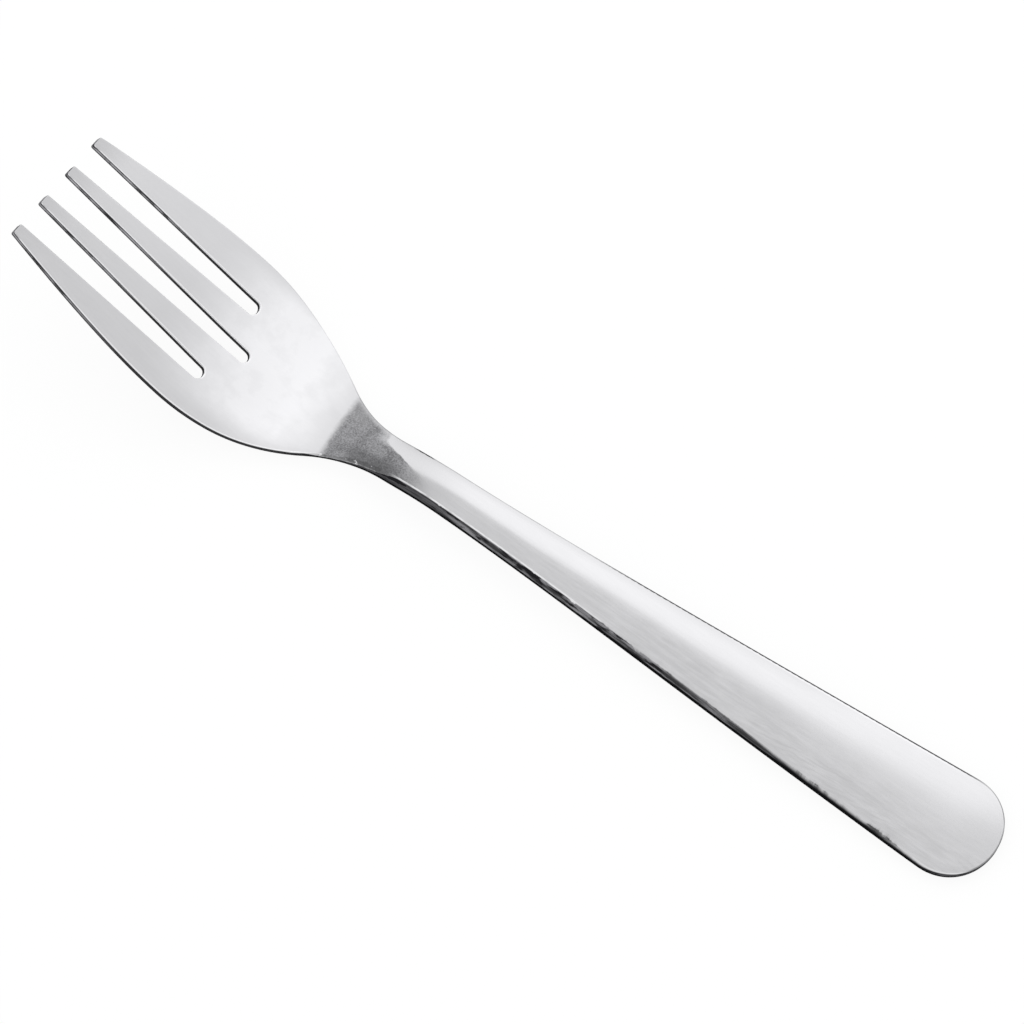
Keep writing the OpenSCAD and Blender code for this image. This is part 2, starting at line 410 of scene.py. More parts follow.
def half_outline(form):
    """One half of the blank's outline, from the handle end to the root of the middle slot."""
    points = side_outline(form)
    for i in range(TINE_COUNT, TINE_COUNT // 2, -1):
        shoulder, high = points[-1]
        low = form.slot_middle(i - 1, shoulder) + form.slot_half(shoulder)
        points += tip_outline(form, high, low)
        points += slot_outline(form, i - 1)
    return points


def cut_blank(bm, form):
    """Flat blank: half the outline is drawn, mirrored and filled, and gets an even band inside its edge."""
    corner = None
    for s, y in half_outline(form):
        if corner is None:
            corner = bmesh.ops.create_vert(bm, co=(0, 0, 0))["vert"][0]
        else:
            corner = bmesh.ops.extrude_vert_indiv(bm, verts=[corner])["verts"][0]
        corner.co = (TIP_STATION / 2 - s, y, 0.0)
    bmesh.ops.mirror(bm, geom=bm.verts[:] + bm.edges[:], axis="Y", merge_dist=MERGE_DISTANCE)
    bmesh.ops.remove_doubles(bm, verts=bm.verts[:], dist=MERGE_DISTANCE)
    inner = bmesh.ops.edgeloop_fill(bm, edges=bm.edges[:])["faces"][0]
    bmesh.ops.inset_region(
        bm,
        faces=[inner],
        use_boundary=True,
        use_even_offset=True,
        thickness=form.rim_width,
    )
    return inner


def station(vert):
    """Station of a corner of the blank."""
    return TIP_STATION / 2 - vert.co.x


def crosses(face, normal, offset):
    """Whether a plane cuts through a face."""
    heights = [v.co.dot(normal) - offset for v in face.verts]
    return min(heights) < 0 < max(heights)


def cut_grid(bm, face, form):
    """Cuts the inside of the blank into small cells that can follow the pressed shape."""
    cells = {face}
    half_width = form.head_width / 2
    half_length = TIP_STATION / 2
    planes = [(Vector((0, 1, 0)), y) for y in spread(-half_width, half_width, GRID_PACE.y)]
    planes += [(Vector((1, 0, 0)), x) for x in spread(-half_length, half_length, GRID_PACE.x)]
    for normal, offset in planes:
        crossed = [f for f in cells if crosses(f, normal, offset)]
        if not crossed:
            continue
        geom = set(crossed)
        for f in crossed:
            geom.update(f.edges)
            geom.update(f.verts)
        cut = bmesh.ops.bisect_plane(
            bm,
            geom=list(geom),
            dist=CUT_DISTANCE,
            plane_co=normal * offset,
            plane_no=normal,
        )
        cells.update(e for e in cut["geom"] if isinstance(e, bmesh.types.BMFace))


def press_blank(bm, form):
    """Gives the flat blank its two faces and presses them into shape."""
    outer = bm.verts.layers.int.new("outer")
    upper = bm.verts[:]
    for v in upper:
        v[outer] = v.is_boundary
    blank = bm.faces[:] + bm.edges[:] + upper
    doubled = bmesh.ops.extrude_face_region(bm, geom=blank, use_keep_orig=True)["geom"]
    lower = [v for v in doubled if isinstance(v, bmesh.types.BMVert)]
    for v in upper:
        v.co.x += form.slant(station(v))
        v.co.z = form.top_height(station(v), v.co.y)
    for v in lower:
        v.co.x -= form.tuck(station(v))
        v.co.z = form.under_height(station(v), v.co.y) + v[outer] * form.roll(station(v))
    bm.verts.layers.int.remove(outer)
    bmesh.ops.recalc_face_normals(bm, faces=bm.faces[:])


def round_rims(bm, form):
    """Rounds the edges between the walls and the two faces."""
    rims = [e for e in bm.edges if e.calc_face_angle(0.0) > RIM_ANGLE]
    bmesh.ops.bevel(
        bm,
        geom=rims,
        offset=form.rim_radius,
        offset_type="OFFSET",
        affect="EDGES",
        segments=RIM_STEPS,
        profile=0.5,
        material=-1,
    )


def edge_places(bm):
    """Places along the blank's edge, each with its outward direction."""
    outward = {}
    for edge in bm.edges:
        if not edge.is_boundary:
            continue
        loop = edge.link_loops[0]
        run = (loop.link_loop_next.vert.co - loop.vert.co) * loop.face.normal.z
        for v in edge.verts:
            outward[v] = outward.get(v, Vector()) + Vector((run.y, -run.x, 0.0))
    return [(v.co.copy(), way.normalized()) for v, way in outward.items()]


def mark_edges(bm, form, places):
    """Writes on each corner what the finish reads there."""
    depth, inset, side, lane = (bm.verts.layers.float.new(mark) for mark in EDGE_MARKS)
    tree = KDTree(len(places))
    for i, (place, _) in enumerate(places):
        tree.insert(place, i)
    tree.balance()
    for v in bm.verts:
        s = station(v)
        top = form.top_height(s, v.co.y)
        under = form.under_height(s, v.co.y)
        below = max(0.0, top - v.co.z)
        _, i, away = tree.find((v.co.x, v.co.y, 0.0))
        v[depth] = min(1.0, below / (top - under))
        v[inset] = away * MM
        v[side] = places[i][1].y
        v[lane] = form.lane(s, v.co.y)


def new_piece(name, bm, material):
    """Makes an object of a finished mesh."""
    mesh = bpy.data.meshes.new(name)
    bm.to_mesh(mesh)
    bm.free()
    mesh.materials.append(material)
    piece = bpy.data.objects.new(name, mesh)
    bpy.context.scene.collection.objects.link(piece)
    return piece


class Signal:
    """A value or colour that changes over a surface, on which sums are written as on numbers."""

    def __init__(self, nodes, socket):
        self.nodes = nodes
        self.socket = socket

    def __add__(self, other):
        return self.nodes.math("ADD", self, other)

    def __sub__(self, other):
        return self.nodes.math("SUBTRACT", self, other)

    def __rsub__(self, other):
        return self.nodes.math("SUBTRACT", other, self)

    def __mul__(self, other):
        return self.nodes.math("MULTIPLY", self, other)

    def __truediv__(self, other):
        return self.nodes.math("DIVIDE", self, other)

    def step(self, start, full):
        """0 up to start, 1 from full on, smooth between them; start may be the higher one."""
        inputs = {"Value": self, "From Min": start, "From Max": full}
        return self.nodes.signal("MapRange", inputs, interpolation_type="SMOOTHSTEP")

    def within(self, start, full, done, stop):
        """1 from full to done, fading to 0 at start and at stop."""
        return self.step(start, full) * self.step(stop, done)

    def span(self, low, high):
        """Low where the signal is 0 and high where it is 1."""
        return self * (high - low) + low


class Nodes:
    """Places and joins the shader nodes of one material or world."""

    def __init__(self, tree):
        self.tree = tree
        tree.nodes.clear()

    def add(self, kind, inputs=(), **settings):
        """A node with its settings; an input is a plain value or a signal."""
        node = self.tree.nodes.new("ShaderNode" + kind)
        for name, value in settings.items():
            setattr(node, name, value)
        for name, value in dict(inputs).items():
            if isinstance(value, Signal):
                self.tree.links.new(value.socket, node.inputs[name])
            else:
                node.inputs[name].default_value = value
        return node

    def signals(self, kind, outputs, inputs=(), **settings):
        """Signals from some outputs of a new node."""
        node = self.add(kind, inputs, **settings)
        return [Signal(self, node.outputs[name]) for name in outputs]

    def signal(self, kind, inputs=(), output=0, **settings):
        """Signal from one output of a new node."""
        return self.signals(kind, [output], inputs, **settings)[0]

    def math(self, operation, first, second=0.0):
        """A sum on one or two values."""
        return self.signal("Math", {0: first, 1: second}, operation=operation)

    def highest(self, first, *others):
        """The highest of some signals."""
        return functools.reduce(functools.partial(self.math, "MAXIMUM"), others, first)

    def blend(self, part, first, second):
        """A colour between two."""
        factor, first_colour, second_colour, result = 0, 6, 7, 2
        inputs = {factor: part, first_colour: first, second_colour: second}
        return self.signal("Mix", inputs, result, data_type="RGBA")

    def joined(self, x, y=0.0, z=0.0):
        """A place made of its distances along the axes."""
        return self.signal("CombineXYZ", {"X": x, "Y": y, "Z": z})

    def noise(self, place, *scale, detail=2.0, roughness=0.5):
        """Noise with so many patches to the metre, in all directions or along X, Y and Z."""
        scales = scale if len(scale) == 3 else scale * 3
        mapped = self.signal("Mapping", {"Vector": place, "Scale": scales})
        inputs = {"Vector": mapped, "Scale": 1.0, "Detail": detail, "Roughness": roughness}
        return self.signal("TexNoise", inputs, "Fac")


class Spot:
    """What the finish reads at each spot: its place, with the near edge at -Y, and its edge marks."""

    def __init__(self, n):
        self.place = n.signal("TexCoord", output="Object")
        self.x, self.y = n.signals("SeparateXYZ", ("X", "Y"), {"Vector": self.place})
        marks = (n.signal("Attribute", output="Fac", attribute_name=mark) for mark in EDGE_MARKS)
        self.depth, self.inset, self.side, self.lane = marks

    def zone(self, limits):
        """1 inside a zone, fading to 0 outside its limits along some of the spot's values."""
        parts = []
        for name, values in limits.items():
            signal = getattr(self, name)
            parts.append(signal.step(*values) if len(values) == 2 else signal.within(*values))
        return functools.reduce(operator.mul, parts)


def shade(colour_value, factor=1.0):
    """A colour property as it is, or made lighter or darker, with full cover."""
    return (*(min(1.0, factor * c) for c in colour_value), 1.0)


# Zones of the finish, by what they run along: metres along the fork (x) or across it (y), or an edge mark.
# Two limits are where a zone starts and is full, and four are where it starts, is full, begins to fade and
# ends. A tone makes a colour lighter or darker.

# Fine lines of the polishing wheel
LINES = {"x": (0.034, 0.046, 0.063, 0.070), "lane": (-1.0, -0.93, -0.66, -0.3)}
LINES_WAVE = 0.0009
LINES_SLOPE = 0.10
LINES_STRENGTH = 0.36


def polish_lines(n, at):
    """Fine wavy lines that the wheel left near the edge of the handle's broad end, fanning out from it."""
    wave = n.noise(at.place, 420.0, detail=3.0) * LINES_WAVE - at.x * LINES_SLOPE
    fine = n.noise(n.joined(at.x, at.y + wave), 210.0, 2900.0, 1.0, roughness=0.6)
    return fine.step(0.42, 0.66) * at.zone(LINES) * LINES_STRENGTH


# Polished handle: its brushing, weaker along the shank and in a calm place, and strongest in the near half
BRUSHED = {"x": (0.0, 0.025)}
CALM = {"x": (0.038, 0.055), "lane": (-0.60, -0.25)}
NEAR_HALF = {"lane": (0.15, -0.35)}
# Darkest and lightest tones of the brushing in the far and the near half
DARK_TONES = (0.98, 0.915)
LIGHT_TONES = (1.02, 1.085)
LINES_TONE = 0.80
# Painted shade on the shank towards the neck and on the far margin, and a painted glint beside the dark far
# rim
SHANK = {"x": (-0.006, -0.018)}
SHANK_TONE = 0.84
MARGIN = {"x": (0.056, 0.040), "lane": (0.55, 1.0)}
MARGIN_STRENGTH = 0.38
MARGIN_TONE = 0.76
GLINT = {
    "x": (0.028, 0.040, 0.064, 0.071),
    "inset": (0.00026, 0.00036, 0.00046, 0.00062),
    "side": (0.5, 0.8),
}
GLINT_STRENGTH = 0.25


def polished_handle(n, at, finish, uneven, lines):
    """Colour of the handle, brushed and lined, with painted shade towards the neck and along its far margin
    and a painted glint.
    """
    brushing = at.zone(BRUSHED).span(0.55, 1.0) * at.zone(CALM).span(1.0, 0.45)
    near_half = at.zone(NEAR_HALF) * brushing
    dark, light = (
        n.blend(near_half, shade(finish.polished, far), shade(finish.polished, near))
        for far, near in (DARK_TONES, LIGHT_TONES)
    )
    steel = n.blend(uneven, dark, light)
    steel = n.blend(lines, steel, shade(finish.polished, LINES_TONE))
    steel = n.blend(at.zone(SHANK), steel, shade(finish.polished, SHANK_TONE))
    steel = n.blend(at.zone(MARGIN) * MARGIN_STRENGTH, steel, shade(finish.polished, MARGIN_TONE))
    return n.blend(at.zone(GLINT) * GLINT_STRENGTH, steel, shade(finish.burnished))


# Satin head and tines, with painted shade that lightens from the near edge to the far one and darkens the
# tips
SATIN_ACROSS = {"y": (-0.014, 0.014)}
SATIN_TONES = (0.895, 1.06)
TIPS = {"x": (-0.0715, -0.0775)}
TIPS_TONE = 0.87
# The painted highlight on the palm of the head, lighter towards the far side, with painted shade along the
# near edge and beside the neck
PALM = {"x": (-0.0570, -0.0416, -0.0390, -0.0240), "y": (-0.0145, -0.0055, 0.0100, 0.0145)}
PALM_ACROSS = {"y": (-0.008, 0.007)}
PALM_TONES = (0.95, 1.05)
PALM_INNER = {"lane": (-1.0, -0.64)}
PALM_PAST_NECK = {"x": (-0.0285, -0.0335)}
PALM_FAR_SIDE = {"y": (0.0, 0.004)}
PALM_DIM_TONE = 0.79
# Tones of the uneven places, and how much of them shows
SATIN_UNEVEN_TONE = 1.25
SATIN_UNEVENNESS = 0.16
PALM_UNEVEN_TONE = 1.15
PALM_UNEVENNESS = 0.10


def satin_head(n, at, finish, uneven):
    """Colour of the satin head and tines with their painted shade, and the clouded painted highlight of the
    palm that fades into them.
    """
    satin = n.blend(at.zone(SATIN_ACROSS), *(shade(finish.polished, tone) for tone in SATIN_TONES))
    satin = n.blend(at.zone(TIPS), satin, shade(finish.polished, TIPS_TONE))
    satin = n.blend(uneven * SATIN_UNEVENNESS, satin, shade(finish.polished, SATIN_UNEVEN_TONE))
    bright = at.zone(PALM_INNER) * n.highest(at.zone(PALM_PAST_NECK), at.zone(PALM_FAR_SIDE))
    palm = n.blend(at.zone(PALM_ACROSS), *(shade(finish.palm, tone) for tone in PALM_TONES))
    palm = n.blend(1 - bright, palm, shade(finish.palm, PALM_DIM_TONE))
    palm = n.blend(uneven * PALM_UNEVENNESS, palm, shade(finish.palm, PALM_UNEVEN_TONE))
    clouds = n.noise(at.place, 330.0, detail=4.0, roughness=0.6).step(0.3, 0.7)
    return n.blend(at.zone(PALM) * clouds.span(0.85, 1.15), satin, palm)


# Painted dark reflection at the neck, on a rougher grainy patch: a bowed border to the head, and a tongue
# of the handle's colour that ends in a round turn
BOW_MIDDLE = 0.004
BOW = 11.0
BOW_BORDER = (-0.0299, -0.0286)
TONGUE_EDGE = 0.00128
TONGUE_TURN = 0.0004
TONGUE_SLOPE = 1.5
TONGUE_TIP = -0.0222
TONGUE_SOFT = {"x": (-0.0175, -0.0120)}
TONGUE_SOFTNESS = (0.0003, 0.0033)
HALO = {"y": (0.0, 0.0016)}
HALO_REACH = (-0.0022, 0.0)
# Where it is whole or fainter: towards the handle, inside the far rim and in the far corner
NECK_FADING = {"x": (-0.0115, -0.0185)}
NECK_INNER = {"inset": (0.0001, 0.00085)}
NECK_NEAR = {"y": (0.0012, -0.0005)}
NECK_FAR_CORNER = {"x": (-0.0235, -0.0275), "y": (0.0005, 0.0035)}


def neck_reflection_cover(n, at, along, past_tongue):
    """Cover of the painted dark reflection at the neck."""
    from_middle = BOW_MIDDLE - at.y
    head_side = (along - from_middle * from_middle * BOW).step(*BOW_BORDER)
    softness = at.zone(TONGUE_SOFT).span(*TONGUE_SOFTNESS)
    handle_side = (past_tongue / softness).step(1.0, -1.0)
    halo = past_tongue.step(*HALO_REACH) * at.zone(HALO)
    whole = n.highest(at.zone(NECK_INNER), at.zone(NECK_NEAR))
    cover = head_side * handle_side * at.zone(NECK_FADING) * whole.span(0.5, 1.0)
    return cover * halo.span(1.0, 0.55) * at.zone(NECK_FAR_CORNER).span(1.0, 0.75)


# Darker places of the painted reflection at the neck: low by the near edge, and specks beside the tongue
LOW = {"x": (-0.0265, -0.0245, -0.0195, -0.0165), "y": (-0.0005, -0.0022)}
LOW_STRENGTH = 0.6
SPECKS = {"y": (0.0008, -0.0002)}
SPECKS_REACH = (-0.0006, -0.0001)
GRAIN_TONES = (0.70, 1.75)
DARK_TONE = 0.42
DARK_STRENGTH = 0.8


def neck_reflection_colour(n, at, finish, past_tongue):
    """Grainy grey of the painted dark reflection at the neck."""
    fine = n.noise(at.place, 4600.0, roughness=0.6)
    blotches = n.noise(at.place, 1300.0, detail=3.0, roughness=0.6)
    clouds = n.noise(at.place, 330.0)
    grain = (fine * 0.58 + clouds * 0.28 + blotches * 0.14).step(0.34, 0.66)
    grainy = n.blend(grain, *(shade(finish.dull, tone) for tone in GRAIN_TONES))
    specks = past_tongue.step(*SPECKS_REACH) * at.zone(SPECKS) * fine.step(0.5, 0.6)
    dark = n.highest(at.zone(LOW) * LOW_STRENGTH, specks)
    return n.blend(dark * DARK_STRENGTH, grainy, shade(finish.dull, DARK_TONE))


def neck_reflection(n, at, finish):
    """Cover and colour of the painted dark reflection at the neck, with the tongue of the handle's colour
    that runs into it from the handle.
    """
    wander = n.noise(at.place, 1700.0, detail=3.0, roughness=0.65).span(-0.0003, 0.0003)
    along = at.x + wander
    under = TONGUE_EDGE - (at.y + wander * 0.5)
    turn = n.math("SQRT", under * under + TONGUE_TURN ** 2)
    past_tongue = along - ((under + turn) * TONGUE_SLOPE + TONGUE_TIP)
    return neck_reflection_cover(n, at, along, past_tongue), neck_reflection_colour(n, at, finish, past_tongue)


# Painted highlight along the near rims, and where it breaks off
RIM_HIGHLIGHT = {"inset": (0.00021, 0.00015), "side": (0.5, 0.0)}
RIM_HIGHLIGHT_HEAD = {"x": (-0.029, -0.033)}
RIM_HIGHLIGHT_NECK = {"x": (-0.031, -0.0285, -0.0190, -0.0165)}
RIM_HIGHLIGHT_STRENGTH = 0.8
RIM_GAP_HANDLE = {"x": (0.008, 0.024, 0.058, 0.086)}
RIM_GAP_END = {"x": (0.0700, 0.0740), "side": (-0.65, -0.35)}


def rim_highlight(n, at):
    """Cover of the painted highlight on the near rims, whole round the head, in specks at the neck and
    faint along the handle.
    """
    painted = n.highest(n.noise(at.place, 420.0).step(0.3, 0.5), at.zone(RIM_HIGHLIGHT_HEAD))
    at_neck = at.zone(RIM_HIGHLIGHT_NECK)
    whole = painted * (1 - n.highest(at_neck, at.zone(RIM_GAP_HANDLE))) * (1 - at.zone(RIM_GAP_END))
    specks = n.noise(at.place, 1700.0).step(0.62, 0.70) * at_neck
    return at.zone(RIM_HIGHLIGHT) * (whole + specks) * RIM_HIGHLIGHT_STRENGTH


# Painted shade: a dark line on the far rim of the handle and round its end, and grey on the far rim of the
# shank and head
FAR_RIM = {"side": (0.3, 0.6)}
FAR_DARK = {"x": (0.006, 0.020, 0.0685, 0.0735)}
FAR_NOTCH = {"x": (-0.0185, -0.0172, -0.0156, -0.0145)}
FAR_DARK_WIDTH = {"inset": (0.00032, 0.00024)}
FAR_GREY = {"x": (-0.056, -0.046), "lane": (0.85, 0.95), "inset": (0.00022, 0.00016)}
FAR_GREY_SHANK = {"x": (-0.034, -0.028)}
FAR_GREY_END = {"x": (0.0685, 0.0735)}
END_LINE = {"x": (0.0705, 0.0735), "side": (-0.75, -0.45, 0.2, 0.6), "inset": (0.00024, 0.00014)}
END_STRENGTH = 0.55


def far_rim_shade(n, at):
    """Cover of the painted shade on the far rim and round the handle's end."""
    dark = n.highest(at.zone(FAR_DARK), at.zone(FAR_NOTCH)) * at.zone(FAR_DARK_WIDTH)
    broken = n.noise(at.place, 120.0).step(0.3, 0.6).span(0.12, 0.32) + at.zone(FAR_GREY_END) * 0.35
    grey = broken * at.zone(FAR_GREY) * at.zone(FAR_GREY_SHANK).span(0.6, 1.0)
    far = n.highest(dark, grey) * at.zone(FAR_RIM)
    return n.highest(far, at.zone(END_LINE) * END_STRENGTH)


# Stretches of dark marks along the near edge, each with its strength: at the broad end, the shank and the
# neck
MARKED_STRETCHES = (
    ((0.0612, 0.0624, 0.0648, 0.0690), 1.0),
    ((0.0470, 0.0500, 0.0545, 0.0575), 0.55),
    ((0.0440, 0.0500, 0.0665, 0.0725), 0.42),
    ((0.0140, 0.0160, 0.0400, 0.0450), 0.5),
    ((-0.0250, -0.0230, -0.0190, -0.0170), 0.5),
)
MARK_RIM = {"side": (0.0, -0.4), "depth": (0.85, 0.65)}
MARK_REACH = (-0.0001, 0.0005)
MARK_SOFTNESS = 0.0002
HAZE_REACH = 2.4
HAZE_SOFTNESS = 0.0009
HAZE_STRENGTH = 0.4


def near_edge_marks(n, at):
    """Dark ragged marks that hug the near edge of the handle, with a faint haze inside them."""
    marked = n.highest(*(at.x.within(*along) * strength for along, strength in MARKED_STRETCHES))
    rise = n.noise(n.joined(at.x), 650.0, detail=4.0, roughness=0.65).step(0.3, 0.7).span(0.3, 1.0)
    reach = (rise * marked).span(*MARK_REACH)
    marks = (reach - at.inset).step(0.0, MARK_SOFTNESS)
    haze = (reach * HAZE_REACH - at.inset).step(0.0, HAZE_SOFTNESS)
    ragged = n.noise(at.place, 480.0, 3000.0, 1300.0, detail=4.0, roughness=0.65).step(0.38, 0.6)
    return n.highest(marks, haze * HAZE_STRENGTH) * ragged.span(0.45, 0.95) * at.zone(MARK_RIM)


# Zones of the painted shade on the cut edges
WALL = {"depth": (0.0, 0.04, 0.985, 0.998)}
WALL_BROAD = {"x": (0.0405, 0.0495, 0.0690, 0.0745)}
WALL_FADED = {"x": (0.0215, 0.0265, 0.0405, 0.0495)}
WALL_SHANK = {"x": (-0.029, -0.014, 0.042, 0.050)}
WALL_NECK = {"x": (-0.0305, -0.0280, -0.0215, -0.0170)}
WALL_HEAD = {"x": (-0.028, -0.034)}
WALL_TINES = {"x": (-0.056, -0.067)}
WALL_BITTEN = {"x": (0.036, 0.030)}
WALL_BLOTCHED = {"x": (0.038, 0.026), "depth": (0.85, 0.6)}
WALL_LIGHTER = {"x": (0.0690, 0.0725)}
WALL_NEAR_NECK = {"x": (-0.004, -0.014)}
TINE_STREAK = {"depth": (0.12, 0.34, 0.48, 0.74)}
# The near edge of the head has a narrower lip of the upper face's colour above the painted shade, and the
# near tine's edge fewer painted highlights
NEAR_LIP = {"y": (-0.0070, -0.0080)}
INNER_TINES = {"y": (-0.0090, -0.0070)}
# Depth at which the black strip of painted shade starts, and where it is taller
STRIP_START = 0.71
STRIP_SOFTNESS = (-0.05, 0.03)
STRIP_HANDLE = {"x": (0.010, 0.022)}
STRIP_BROAD = {"x": (0.042, 0.049)}
# Height in metres that the streaks' pattern takes a wall to have
PATTERN_HEIGHT = 0.002
# Tones of the streaks, and of the plain places, the lighter grey places and the painted highlights beside
# them
STREAK_TONES = (0.3, 1.9)
HEAD_TONE = 0.25
LIGHTER_TONE = 0.6
BRIGHT_TONE = 3.0


class CutEdge:
    """Painted shade on the cut edges: grey streaks and dark blotches over a black strip, all dark where
    thin, with painted highlights on the tines.
    """

    def __init__(self, n, at, finish):
        self.n = n
        self.at = at
        self.finish = finish
        level = n.joined(at.x, at.y)
        self.place = n.joined(at.x, at.y, at.depth * PATTERN_HEIGHT)
        self.wander = n.noise(level, 230.0, detail=4.0, roughness=0.62)
        self.ragged = n.noise(level, 900.0, detail=3.0, roughness=0.6)
        self.blotches = n.noise(self.place, 260.0, 260.0, 800.0, detail=3.0, roughness=0.6)
        self.shank = at.zone(WALL_SHANK)
        self.head = at.zone(WALL_HEAD)
        self.tines = at.zone(WALL_TINES)

    def cover(self):
        """Cover of the painted shade on the wall, below a border down to which the upper face's colour
        reaches.
        """
        at = self.at
        broad = at.zone(WALL_BROAD)
        faded = at.zone(WALL_FADED)
        bites = self.wander.step(0.56, 0.72) * self.shank * at.zone(WALL_BITTEN) * 0.42
        broad_border = (self.wander * 0.3 + self.ragged * 0.15 - 0.27) * broad
        neck = at.zone(WALL_NECK) * self.ragged.span(0.36, 0.66)
        lip = (self.head - self.tines) * at.zone(NEAR_LIP).span(0.22, 0.06)
        border = broad_border + bites - faded * 0.22 + neck + lip
        softness = broad * 0.50 + faded * 0.38 + 0.07
        return (at.depth - border).step(0.0, softness) * at.zone(WALL)

    def streaked(self):
        """Grey streaks of the painted shade, which on the tines are one lane with painted highlights in
        places.
        """
        n = self.n
        streaks = n.noise(self.place, 130.0, 130.0, 1500.0, detail=4.0, roughness=0.65).step(0.38, 0.62)
        lane = self.at.zone(TINE_STREAK) * self.wander.step(0.34, 0.5)
        lit = self.tines * (lane - streaks) + streaks
        grey = n.blend(lit, *(shade(self.finish.streak, tone) for tone in STREAK_TONES))
        bright = self.tines * lane * self.wander.step(0.42, 0.56) * self.at.zone(INNER_TINES).span(0.2, 1.0)
        return n.blend(bright, grey, shade(self.finish.streak, BRIGHT_TONE))

    def plain(self):
        """Even painted shade of the thin walls and of the blotches, lighter grey in places at the handle
        end.
        """
        even = self.n.blend(self.head, shade(self.finish.sheared), shade(self.finish.streak, HEAD_TONE))
        painted = self.at.zone(WALL_LIGHTER) * self.blotches.step(0.42, 0.58)
        return self.n.blend(painted, even, shade(self.finish.streak, LIGHTER_TONE))

    def strip(self):
        """Cover of the black strip of painted shade along the bottom, taller along the handle and tallest
        at its end.
        """
        taller = self.at.zone(STRIP_HANDLE) * 0.09 + self.at.zone(STRIP_BROAD) * 0.11
        start = self.wander * 0.08 + self.head * 0.12 + STRIP_START - taller
        return (self.at.depth - start).step(*STRIP_SOFTNESS)

    def colour(self):
        """Colour of the wall: its painted shade."""
        n = self.n
        blotched = self.blotches.step(0.50, 0.60) * self.at.zone(WALL_BLOTCHED)
        thin = 1 - n.highest(self.shank, self.tines)
        near_neck = self.at.zone(WALL_NEAR_NECK) * (1 - self.head) * 0.7
        wall = n.blend(n.highest(blotched, thin, near_neck), self.streaked(), self.plain())
        return n.blend(self.strip(), wall, shade(self.finish.torn))


# The head, the upper faces, and the handle's two ends, which are a little rougher
HEAD = {"x": (-0.020, -0.028)}
UPPER_FACE = {"depth": (0.6, 0.4)}
BROAD_END = {"x": (0.035, 0.072)}
SHANK_END = {"x": (0.020, 0.000)}
# Tones of the painted far-rim shade and of the near-edge marks, beside the dark grey colour
FAR_SHADE_TONE = 0.35
MARK_TONE = 0.4
# Depth of the finest marks in metres, and how much of it shows
BUMP_DEPTH = 0.00002
BUMP_STRENGTH = 0.3


def steel_material(finish):
    """Steel: a polished handle, a satin head, a painted dark reflection at the neck, painted highlights on
    rims and palm, and painted shade on the head, rims and streaky cut edges.
    """
    material = bpy.data.materials.new("satin_steel")
    material.use_nodes = True
    n = Nodes(material.node_tree)
    at = Spot(n)

    mottle = n.noise(at.place, 170.0, detail=4.0, roughness=0.6)
    streaks = n.noise(n.joined(at.x, at.lane), 22.0, 7.0, 1.0, detail=5.0, roughness=0.62)
    brushed = n.noise(at.place, 330.0, 2300.0, 1.0, detail=3.0, roughness=0.62)
    uneven = (mottle * 0.3 + streaks * 0.35 + brushed * 0.35).step(0.34, 0.66)
    lines = polish_lines(n, at)
    head = at.zone(HEAD)
    neck, dull = neck_reflection(n, at, finish)
    neck = neck * at.zone(UPPER_FACE)
    near_marks = near_edge_marks(n, at)
    cut_edge = CutEdge(n, at, finish)
    wall = cut_edge.cover()

    # The faces' colours, with the painted reflection, highlights and shade and the near-edge marks laid
    # over them
    polished = polished_handle(n, at, finish, uneven, lines)
    faces = n.blend(head, polished, satin_head(n, at, finish, uneven))
    faces = n.blend(neck, faces, dull)
    faces = n.blend(rim_highlight(n, at), faces, shade(finish.burnished))
    faces = n.blend(far_rim_shade(n, at), faces, shade(finish.dull, FAR_SHADE_TONE))
    faces = n.blend(near_marks, faces, shade(finish.dull, MARK_TONE))

    matt = n.highest(wall, neck, near_marks)
    rough = head.span(finish.polished_roughness, finish.head_roughness) + mottle.span(-0.02, 0.02)
    rough = rough + at.zone(BROAD_END) * 0.05 + at.zone(SHANK_END) * 0.03
    grain = n.noise(at.place, 3600.0, detail=3.0, roughness=0.6)
    height = grain * matt + uneven * 0.12 - lines * 0.5
    bump = n.signal("Bump", {"Height": height, "Strength": BUMP_STRENGTH, "Distance": BUMP_DEPTH})
    # The walls take their painted shade as a matt colour that is not metal
    inputs = {
        "Base Color": n.blend(wall, faces, cut_edge.colour()),
        "Roughness": n.highest(rough, matt * finish.dull_roughness),
        "Metallic": 1 - wall,
        "Normal": bump,
        "Specular IOR Level": 0.0,
    }
    n.add("OutputMaterial", {"Surface": n.signal("BsdfPrincipled", inputs)})
    return material


def floor_material(look):
    """White floor for the camera and in reflections, which keeps a share of the shadow."""
    material = bpy.data.materials.new("pale_floor")
    material.use_nodes = True
    n = Nodes(material.node_tree)
    seen = n.highest(*n.signals("LightPath", ("Is Camera Ray", "Is Glossy Ray", "Is Transmission Ray")))
    lit = n.signal("BsdfDiffuse", {"Color": shade(look.floor)})
    white = n.signal("Emission", {"Strength": 1.0})
    surface = n.signal("MixShader", {0: seen * (1 - look.shadow), 1: lit, 2: white})
    n.add("OutputMaterial", {"Surface": surface})
    return material


